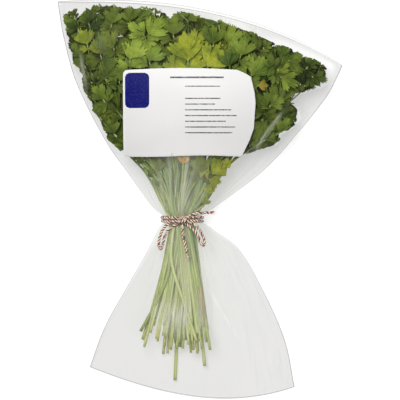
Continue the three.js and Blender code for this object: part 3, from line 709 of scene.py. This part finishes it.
def branch(shape, stem, top, end, size, seed, beside):
    """A side stalk with a division of its own at end."""
    random = np.random.default_rng(seed)
    path = side_stalk(shape, stem, top, end, stem["level"], random, beside)
    way = path[-1] - path[-3]
    heading = math.atan2(way[0], way[1]) + math.radians(random.uniform(-50, 50))
    tone, yellow = field_tone(*end)
    # painted shade: leaves on lower levels, under the others, are darker
    tone += 0.24 * (stem["level"] - 0.5)
    tone += random.choice([-0.2, -0.05, 0.1, 0.36]) + random.uniform(-0.1, 0.1)
    division(shape, stem["level"], path[-1], heading, size, seed + 7, tone, yellow)


def front_leaf(shape, stem, top, place, seed):
    """A leaf right under the front film, on a thin stalk; a large one has two side leaflets."""
    x, y, heading, size, tone, yellow = place
    random = np.random.default_rng(seed)
    side_stalk(shape, stem, top, (x, y), FRONT_LEVEL, random)
    heading = math.radians(heading)
    leaflet(shape, FRONT_LEVEL, (x, y), heading, size, math.radians(54), seed + 1, tone, yellow,
            0.75, 0.66)
    if size < 13:
        return
    low = ahead((x, y), heading, -0.22 * size)
    for k, side in enumerate((-1, 1)):
        outward = heading + side * math.radians(random.uniform(66, 96))
        leaflet(shape, FRONT_LEVEL - 0.012, low, outward, size * random.uniform(0.5, 0.85),
                math.radians(44), seed + 3 + k, tone - random.uniform(0.05, 0.25), yellow, 0.95, 0.6)


def share_out(stems):
    """Places for the side stalks' divisions and the front leaves, by the stem that passes nearest."""
    random = np.random.default_rng(11)
    lowest = ((-0.66, 0.33), (-0.5, 0.36), (-0.5, 0.25), (0.12, 0.31), (0.3, 0.34))
    spots = [plan_of(u, v) for u, v in lowest]
    for row, v in enumerate(np.linspace(0.38, 0.95, 9)):
        count = round(lerp(8, 13, row / 8))
        for u in np.linspace(-0.9, 0.9, count) + random.uniform(-0.06, 0.06, count):
            spots.append(plan_of(np.clip(u, -0.92, 0.92), min(v + random.uniform(-0.03, 0.03), 0.96)))
    # more along the left side and under the top border
    spots += [plan_of(-0.93, v) for v in np.linspace(0.45, 0.93, 9)]
    for u in np.linspace(-0.88, 0.85, 12):
        spots.append(plan_of(u, np.interp(u, LEAVES_U, LEAVES_TOP) - 0.045))

    def hand_out(things, takers, weight):
        """The things by the stem that takes each; weight keeps a stem from taking many."""
        held = {stem["index"]: [] for stem in stems}
        for thing in things:
            u, _ = sleeve_of(*thing[:2])
            cost = [abs(stem["fan"] - u) + weight * len(held[stem["index"]]) for stem in takers]
            held[takers[np.argmin(cost)]["index"]].append(thing)
        return held

    spots = [spot for spot in spots if not is_outside(*spot, 0.02)]
    in_front = [stem for stem in stems if stem["row"] >= 4]
    return hand_out(spots, stems, 0.12), hand_out(FRONT_LEAVES, in_front, 0.1)


def leafy_stem(stem, spots, places, materials):
    """A whole stem: its stalk, divisions, side stalks, front leaves and loose stalks."""
    index = stem["index"]
    seed = 1000 * index
    shape = Shape("tone", "yellow", "vein")
    top = stem["reach"] - END_SIZE / LENGTH_PER_V
    fork_v = top - SIDE_DROP / LENGTH_PER_V
    points = [foot_point(stem, stem["cut"]), foot_point(stem, lerp(stem["cut"], TIED_Y, 0.45))]
    points += [stem_point(stem, v, top) for v in (0, 0.06, 0.14, 0.23, 0.33) if v < fork_v - 0.05]
    points += [stem_point(stem, v, top) for v in (fork_v, (fork_v + top) / 2, top)]
    fork, before, foot = points[-3:]
    heading = math.atan2(foot[0] - before[0], foot[1] - before[1])

    path = smooth_path(points, 4)
    s = np.linspace(0, 1, len(path))
    rise = np.clip(np.interp(path[:, 1], STALK_Y, STALK_RISE) + 0.6 * (draw(index, 23) - 0.5), 0, 1)
    path[:, 2] -= 4 * smooth(22, 60, path[:, 1]) * (1 - s**6) * min(1, stem["level"] * 3)
    radii = np.interp(s, [0, 0.38, 0.85, 1], [1.25, 1.2, 0.7, 0.5])
    stalk(shape, path, radii, rise, draw(index, 20) ** 3)
    turn = math.radians(14 * (draw(index, 4) - 0.5))
    tone, yellow = field_tone(*foot[:2])
    # painted shade: leaves on lower levels are darker; the random part is the stem's own tone
    tone += 0.22 * (stem["level"] - 0.5) + 0.3 * (draw(index, 21) - 0.5)
    division(shape, stem["level"], foot, heading + turn, END_SIZE, seed + 1, tone, yellow)
    for side in (-1, 1):
        outward = heading + side * math.radians(58)
        x, y = ahead(fork, outward, BRANCH)
        if abs(sleeve_of(x, y)[0]) > 0.84:
            continue
        base = [x, y, height_on(stem["level"], x, y)]
        facing = heading + side * math.radians(lerp(60, 68, draw(index, 8 + side)))
        stalk(shape, smooth_path([fork, base], 3), 0.5, 0.9, sides=5)
        size = lerp(*SIDE_SIZE, draw(index, 5 + side))
        division(shape, stem["level"], base, facing, size, seed + 300 + 100 * side,
                 tone + 0.2 * (draw(index, 24 + side) - 0.5), yellow)
    for k, spot in enumerate(spots):
        inward = -1 if stem["foot"][0] > WAIST[0] + FOOT_SHIFT[stem["row"]] else 1
        beside = inward * BESIDE[k] if k < len(BESIDE) else None
        size = 21 + 8 * draw(index, 30 + k)
        branch(shape, stem, top, spot, size, seed + 500 + 40 * k, beside)
    for k, place in enumerate(places):
        front_leaf(shape, stem, top, place, 900000 + seed + 10 * k)
    for route, radius, tone, yellow in LOOSE_STALKS.get(index, []):
        stalk(shape, smooth_path(route, 4), radius, tone, yellow)
    return shape.object(f"parsley_{index + 1:02d}", materials)


# ---- the film ----

# painted sheen of the front film: pale hazy patches, glare and lines that stand in for its reflections
# of the light: middle, half width and length, lean to the right, and strength
SHEEN_PATCHES = [
    (-15, 8, 17, 26, 0, 0.2), (-14, -48, 15, 30, 0, 0.12), (-14, -86, 17, 13, 0, 0.3),
    (-74, 116, 11, 20, -0.1, 0.13), (-12, 126, 15, 8, 0, 0.09), (-87, 96, 2.6, 20, -0.19, 0.2),
    (30, 129, 9, 8, -2.6, 0.2), (53, 54, 2.6, 13, 0.72, 0.3), (16, -83, 0.8, 26, -0.6, 0.1),
    (2, -60, 3, 40, 0, 0.08),
]


def film_piece(material):
    """The sleeve as one thin sheet just inside the outside of its solid."""
    around, lengthwise, inset = 288, 150, 0.15
    half = around // 2
    k = np.arange(around)
    u = -np.cos(math.pi * k / half)
    s = np.linspace(-1, 1, lengthwise + 1)
    v = np.sign(s) * np.abs(s) ** 1.35
    v = np.concatenate([[-1, -0.996], v[1:-1], [0.996, 1]])
    u, v = np.meshgrid(u, v)
    front_side = np.broadcast_to(k <= half, u.shape)
    x, y = plan_of(u, v)
    back, front = film_heights(u, v)
    z = np.where(front_side, front - inset, back + inset)
    points = np.stack([x, y, z], axis=-1)

    # pleats that run out from the waist
    inner = np.clip(1 - np.abs(u) ** 8, 0, 1)
    angle = math.pi * k / half
    pleat = np.sin(13 * angle + 0.9 * np.sin(3 * angle + 4 * v)) + 0.5 * np.sin(29 * angle + 2 + 5 * v)
    near = smooth(0.02, 0.1, np.abs(v)) * (1 - smooth(0.12, np.where(v > 0, 0.6, 0.42), np.abs(v)))
    lift = np.where(front_side, 0.75, 0.55) * near * (pleat + 1.3) * inner
    points[..., 2] += np.where(front_side, 1, -1) * lift
    # long soft creases
    crease = np.sin(0.09 * x + 0.05 * y + 2 * np.sin(0.02 * y)) * np.sin(0.021 * y - 0.03 * x + 1)
    points[..., 2] += np.where(front_side, 0.5 * crease * inner, 0)
    points[..., 2] = np.maximum(points[..., 2], 0.05)

    # clearer over the leaves, which press against it
    leafy = smooth(0.3, 0.45, v) * (1 - smooth(0.93, 0.99, np.abs(u))) * (1 - smooth(0.94, 0.99, v))
    leafy = leafy * (x < np.interp(y, LEAVES_Y, LEAVES_RIGHT))
    haze = CLEAR - 0.107 * leafy + 0.012 * smooth(0.2, 0.9, u)
    # painted sheen: pale patches on the front film that stand in for its reflections
    for at_x, at_y, wide, long, slant, strength in SHEEN_PATCHES:
        across = (x - at_x - slant * (y - at_y)) / wide
        haze = haze + strength * np.exp(-(across**2 + ((y - at_y) / long) ** 2)) * front_side
    # painted reflection: the grey line along the folds at the sides and along the cut ends
    edge = np.clip(smooth(0.992, 0.9996, np.abs(u)) + (np.abs(v) > 0.997), 0, 1)
    shape = Shape("haze", "edge")
    shape.add(points, grid_faces(len(points), around, True), haze=haze, edge=edge)
    piece = shape.object("film_sleeve", [material])
    layer = piece.data.uv_layers.new(name="sleeve")
    uv = np.stack([(k / around)[None, :] * np.ones_like(v), (v + 1) / 2], axis=-1).reshape(-1, 2)
    corners = np.empty(len(piece.data.loops), int)
    piece.data.loops.foreach_get("vertex_index", corners)
    layer.data.foreach_set("uv", uv[corners].ravel())
    return piece


# ---- the label ----

# left, bottom, right and top of the label, its plain block and its two upper lines
LABEL, BLOCK = (-57, 32.5, 41, 96), (-55.5, 68, -37.5, 94)
TITLE, SUBTITLE = (-22, 89.8, 17.5, 91), (-11, 83.5, 15, 84.2)
RULED_X, RULED_Y, RULED_STEP = -11, 74.5, 4.2  # where the plain lines start, and how far apart they are
RULED = (26, 22, 34, 38, 30, 37, 35)  # their lengths
EDGE_X = [31, 37, 39.8, 41, 40.3, 37.5, 32, 27]  # its right edge
EDGE_Y = [32.5, 45, 53, 72, 79, 91, 94, 96]
PAPER = 0.35  # thickness
BLUE, GREY = 1, 2  # inks


def round_corners(x, y, box, radius, is_left=False):
    """Plan positions in a box, moved in to round its corners, or only its left ones."""
    x0, y0, x1, y1 = box
    from_x, from_y = x - (x0 + x1) / 2, y - (y0 + y1) / 2
    past_x = (-from_x if is_left else np.abs(from_x)) - (x1 - x0) / 2 + radius
    past_y = np.abs(from_y) - (y1 - y0) / 2 + radius
    round_off = 1 - np.maximum(past_x, past_y) / np.maximum(np.hypot(past_x, past_y), 1e-6)
    inward = np.where((past_x > 0) & (past_y > 0), round_off, 0)
    return x - np.sign(from_x) * past_x * inward, y - np.sign(from_y) * past_y * inward


def label_piece(paper, blue, grey):
    """Curved paper that follows the film and lifts off it at its right edge."""
    left, bottom, right, top = LABEL
    columns, rows = 56, 36

    def height(x, y, lift):
        u, v = sleeve_of(x, y)
        across = np.clip((x - left) / (right - left), 0, 1)
        return film_heights(u, v)[1] + 1.0 + 2.5 * across**4 + lift

    across, up = np.meshgrid(np.linspace(0, 1, columns + 1), np.linspace(0, 1, rows + 1))
    y = lerp(bottom, top, up)
    x = lerp(left, np.interp(y, EDGE_Y, EDGE_X), across)
    x, y = round_corners(x, y, LABEL, 3, is_left=True)
    # the top edge bows up and the bottom edge waves a little
    y = y + 1.3 * up**3 * np.sin(math.pi * across) - 0.5 * (1 - up) ** 3 * np.sin(7 * across)
    rim = smooth(0.965, 0.99, np.maximum(np.abs(2 * across - 1), np.abs(2 * up - 1)))
    shape = Shape("rim")
    faces = grid_faces(rows + 1, columns + 1)
    for lift, turned in ((0.0, True), (PAPER, False)):
        points = np.stack([x, y, height(x, y, lift)], axis=-1)
        shape.add(points, [f[::-1] for f in faces] if turned else faces, rim=rim)
    at = np.arange(x.size).reshape(x.shape)
    ring = np.concatenate([at[0, :-1], at[:-1, -1], at[-1, :0:-1], at[:0:-1, 0]]).tolist()
    shape.faces += [[i, j, j + x.size, i + x.size] for i, j in zip(ring, ring[1:] + ring[:1])]
    shape.materials += [0] * len(ring)

    def patch(x0, y0, x1, y1, ink, radius=0.0):
        """A flat printed block; radius is its corners'."""
        n, m = max(2, round((x1 - x0) / 3)), max(2, round((y1 - y0) / 3))
        x, y = np.meshgrid(np.linspace(x0, x1, n + 1), np.linspace(y0, y1, m + 1))
        x, y = round_corners(x, y, (x0, y0, x1, y1), radius)
        shape.add(np.stack([x, y, height(x, y, PAPER + 0.07)], axis=-1), grid_faces(m + 1, n + 1), ink)

    patch(*BLOCK, BLUE, 3.5)
    patch(*TITLE, GREY)
    for k, length in enumerate(RULED):
        y0 = RULED_Y - RULED_STEP * k
        patch(RULED_X, y0, RULED_X + length, y0 + 0.8, GREY)
    patch(*SUBTITLE, GREY)
    return shape.object("paper_label", [paper, blue, grey])


# ---- the twine ----

# the plan of the bow: its left and its right loop, and its two tails
BOW = [
    [[-14.5, -15], [-19.8, -16.2], [-25, -18.6], [-28.9, -24.2], [-30.8, -31.5], [-29.8, -36.8],
     [-28, -33.6], [-26.6, -27.6], [-23.8, -22.4], [-19.6, -19], [-14.8, -16]],
    [[-12.4, -15], [-7.8, -16.4], [-3.2, -18.8], [0.3, -23.4], [3.1, -29.6], [2.8, -33.8],
     [0.5, -32], [-1.4, -27.2], [-4.6, -22.6], [-8.6, -19.2], [-12.2, -16]],
    [[-13.6, -15.5], [-13.1, -21.5], [-12.2, -28.5], [-10.6, -35], [-9.3, -41]],
    [[-12.6, -14.6], [-7.4, -11.6], [-1.6, -9.8], [3.6, -9.6], [7.8, -9.4]],
]
KNOT, WRAPS = (-13.4, -15, 29), (-1.9, 0.0, 1.9)  # the knot's middle, and its wraps beside it
TWINE_R, WRAP_R = 1.05, 0.95
TURNS_Y, TURN_POINTS = (-15.7, -13.1), 220  # where the two turns lie
CLEARANCE = 0.95  # between the film and the turns
THREADS = ((0, 0.5), (2, 0.56), (0, 0.5), (1, 0.5))  # material and thickness of the four threads


def bow_point(x, y):
    """A point of the bow, which lies on the front film and rises to the knot."""
    u, v = sleeve_of(x, y)
    _, top = film_heights(np.clip(u, -0.8, 0.8), v)
    near = max(0, 1 - math.hypot(x - KNOT[0], y - KNOT[1]) / 6)
    return np.array([x, y, lerp(top + TWINE_R + 0.9, KNOT[2], near)])


def twine_piece(materials):
    """Two turns round the waist, a knot, two loops, and two tails with frayed ends."""
    shape = Shape()

    def ply(path, is_loop=False, radius=TWINE_R):
        """Four threads twisted round each other along a path."""
        length = np.linalg.norm(np.diff(path, axis=0), axis=1).sum()
        turns = max(1, round(length / 5))
        across, up = frames_of(path, is_loop)
        s = np.arange(len(path)) / (len(path) if is_loop else len(path) - 1)
        for k, (material, thickness) in enumerate(THREADS):
            angle = 2 * math.pi * (turns * s + k / 4) + 0.35 * np.sin(2 * math.pi * (turns // 3) * s)
            offset = across * np.cos(angle)[:, None] + up * np.sin(angle)[:, None]
            points, faces = tube(path + 0.5 * radius * offset, thickness * radius, 6, is_loop=is_loop)
            shape.add(points, faces, material)

    for y in TURNS_Y:
        _, v = sleeve_of(WAIST[0], y)
        back, front = film_heights(0.0, v)
        left, middle, right = plan_of([-1, 0, 1], v)[0]
        width = (right - left) / 2 + TWINE_R + CLEARANCE
        height = (front - back) / 2 + TWINE_R + CLEARANCE
        angle = 2 * math.pi * np.arange(TURN_POINTS) / TURN_POINTS
        turn = np.stack([middle + width * np.cos(angle), y + 0.3 * np.sin(2 * angle),
                         (front + back) / 2 + height * np.sin(angle)], axis=-1)
        ply(turn, True)
    for route in BOW:
        ply(smooth_path([bow_point(x, y) for x, y in route], 0.36))
    for offset in WRAPS:
        angle = np.linspace(0, 2 * math.pi, 44, endpoint=False)
        wrap = np.stack([KNOT[0] + offset + 0.5 * np.sin(angle), KNOT[1] + 2.0 * np.cos(angle),
                         KNOT[2] - 0.1 + 1.9 * np.sin(angle)], axis=-1)
        ply(wrap, True, WRAP_R)
    # frayed ends
    random = np.random.default_rng(5)
    for route, material, spread in ((BOW[2], 0, 1.5), (BOW[3], 1, 1.1)):
        end = bow_point(*route[-1])
        way = end - bow_point(*route[-2])
        way /= np.linalg.norm(way)
        for _ in range(34):
            drift = way * random.uniform(0.8, 3.4) + random.normal(0, spread * 0.7, 3)
            path = smooth_path([end - way * 0.8, end + drift * 0.5, end + drift], 0.5)
            path[:, 2] = np.maximum(path[:, 2], end[2] - 1.2)
            points, faces = tube(path, np.linspace(0.2, 0.07, len(path)), 4)
            shape.add(points, faces, material)
    return shape.object("twine_bow", materials)


# ---- build ----

greens = [leaf_material(), stalk_material()]
places = [(q, p) for q in range(len(ROWS)) for p in range(ROWS[q])]
stems = [stem_layout(q, p, index) for index, (q, p) in enumerate(places)]
spots, front_places = share_out(stems)
for stem in stems:
    piece = leafy_stem(stem, spots[stem["index"]], front_places[stem["index"]], greens)
    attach(piece, "root")
    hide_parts(f"leafy_stem_{stem['index'] + 1:02d}")

film = film_piece(film_material())
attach(film, "root")
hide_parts("sleeve")

label = label_piece(paper_material(), ink_material("label_blue", srgb(4, 12, 94), 0.02),
                    ink_material("label_grey", srgb(70, 64, 72), 0.5))
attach(label, "root")
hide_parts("label")

twine = twine_piece([
    twine_material("twine_cream", srgb(226, 208, 180), srgb(250, 240, 220), srgb(90, 50, 44)),
    twine_material("twine_red", srgb(120, 20, 30), srgb(180, 70, 66), srgb(230, 212, 190)),
    twine_material("twine_brown", srgb(22, 12, 8), srgb(62, 38, 30), srgb(150, 110, 90)),
])
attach(twine, "root")
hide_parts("twine")

# ---- floor, light ----

white = Nodes("floor_white")
white.set("Base Color", (0.45, 0.45, 0.45))
white.set("Emission Color", (1, 1, 1))
white.set("Emission Strength", 0.62)
white.set("Roughness", 0.9)
ground = Shape()
corners = [(4000 * x, 4000 * y, -0.4) for x, y in ((-1, -1), (1, -1), (1, 1), (-1, 1))]
ground.add(corners, [[0, 1, 2, 3]])
floor = ground.object("floor", [white.material])


def area_light(name, place, size, power):
    """A square light that faces the middle of the part."""
    light = bpy.data.lights.new(name, "AREA")
    light.size = size
    light.energy = power
    lamp = bpy.data.objects.new(name, light)
    lamp.location = place
    lamp.rotation_mode = "QUATERNION"
    lamp.rotation_quaternion = Vector(place).to_track_quat("Z", "Y")
    scene.collection.objects.link(lamp)


area_light("key", (-0.36, 0.52, 1.74), 0.9, 34.5)
area_light("fill", (0.9, -0.6, 1.4), 1.4, 7)
world = bpy.data.worlds.new("world")
world.use_nodes = True
world.node_tree.nodes["Background"].inputs["Color"].default_value = (1, 1, 1, 1)
world.node_tree.nodes["Background"].inputs["Strength"].default_value = 0.22
scene.world = world
scene.view_settings.view_transform = "Standard"
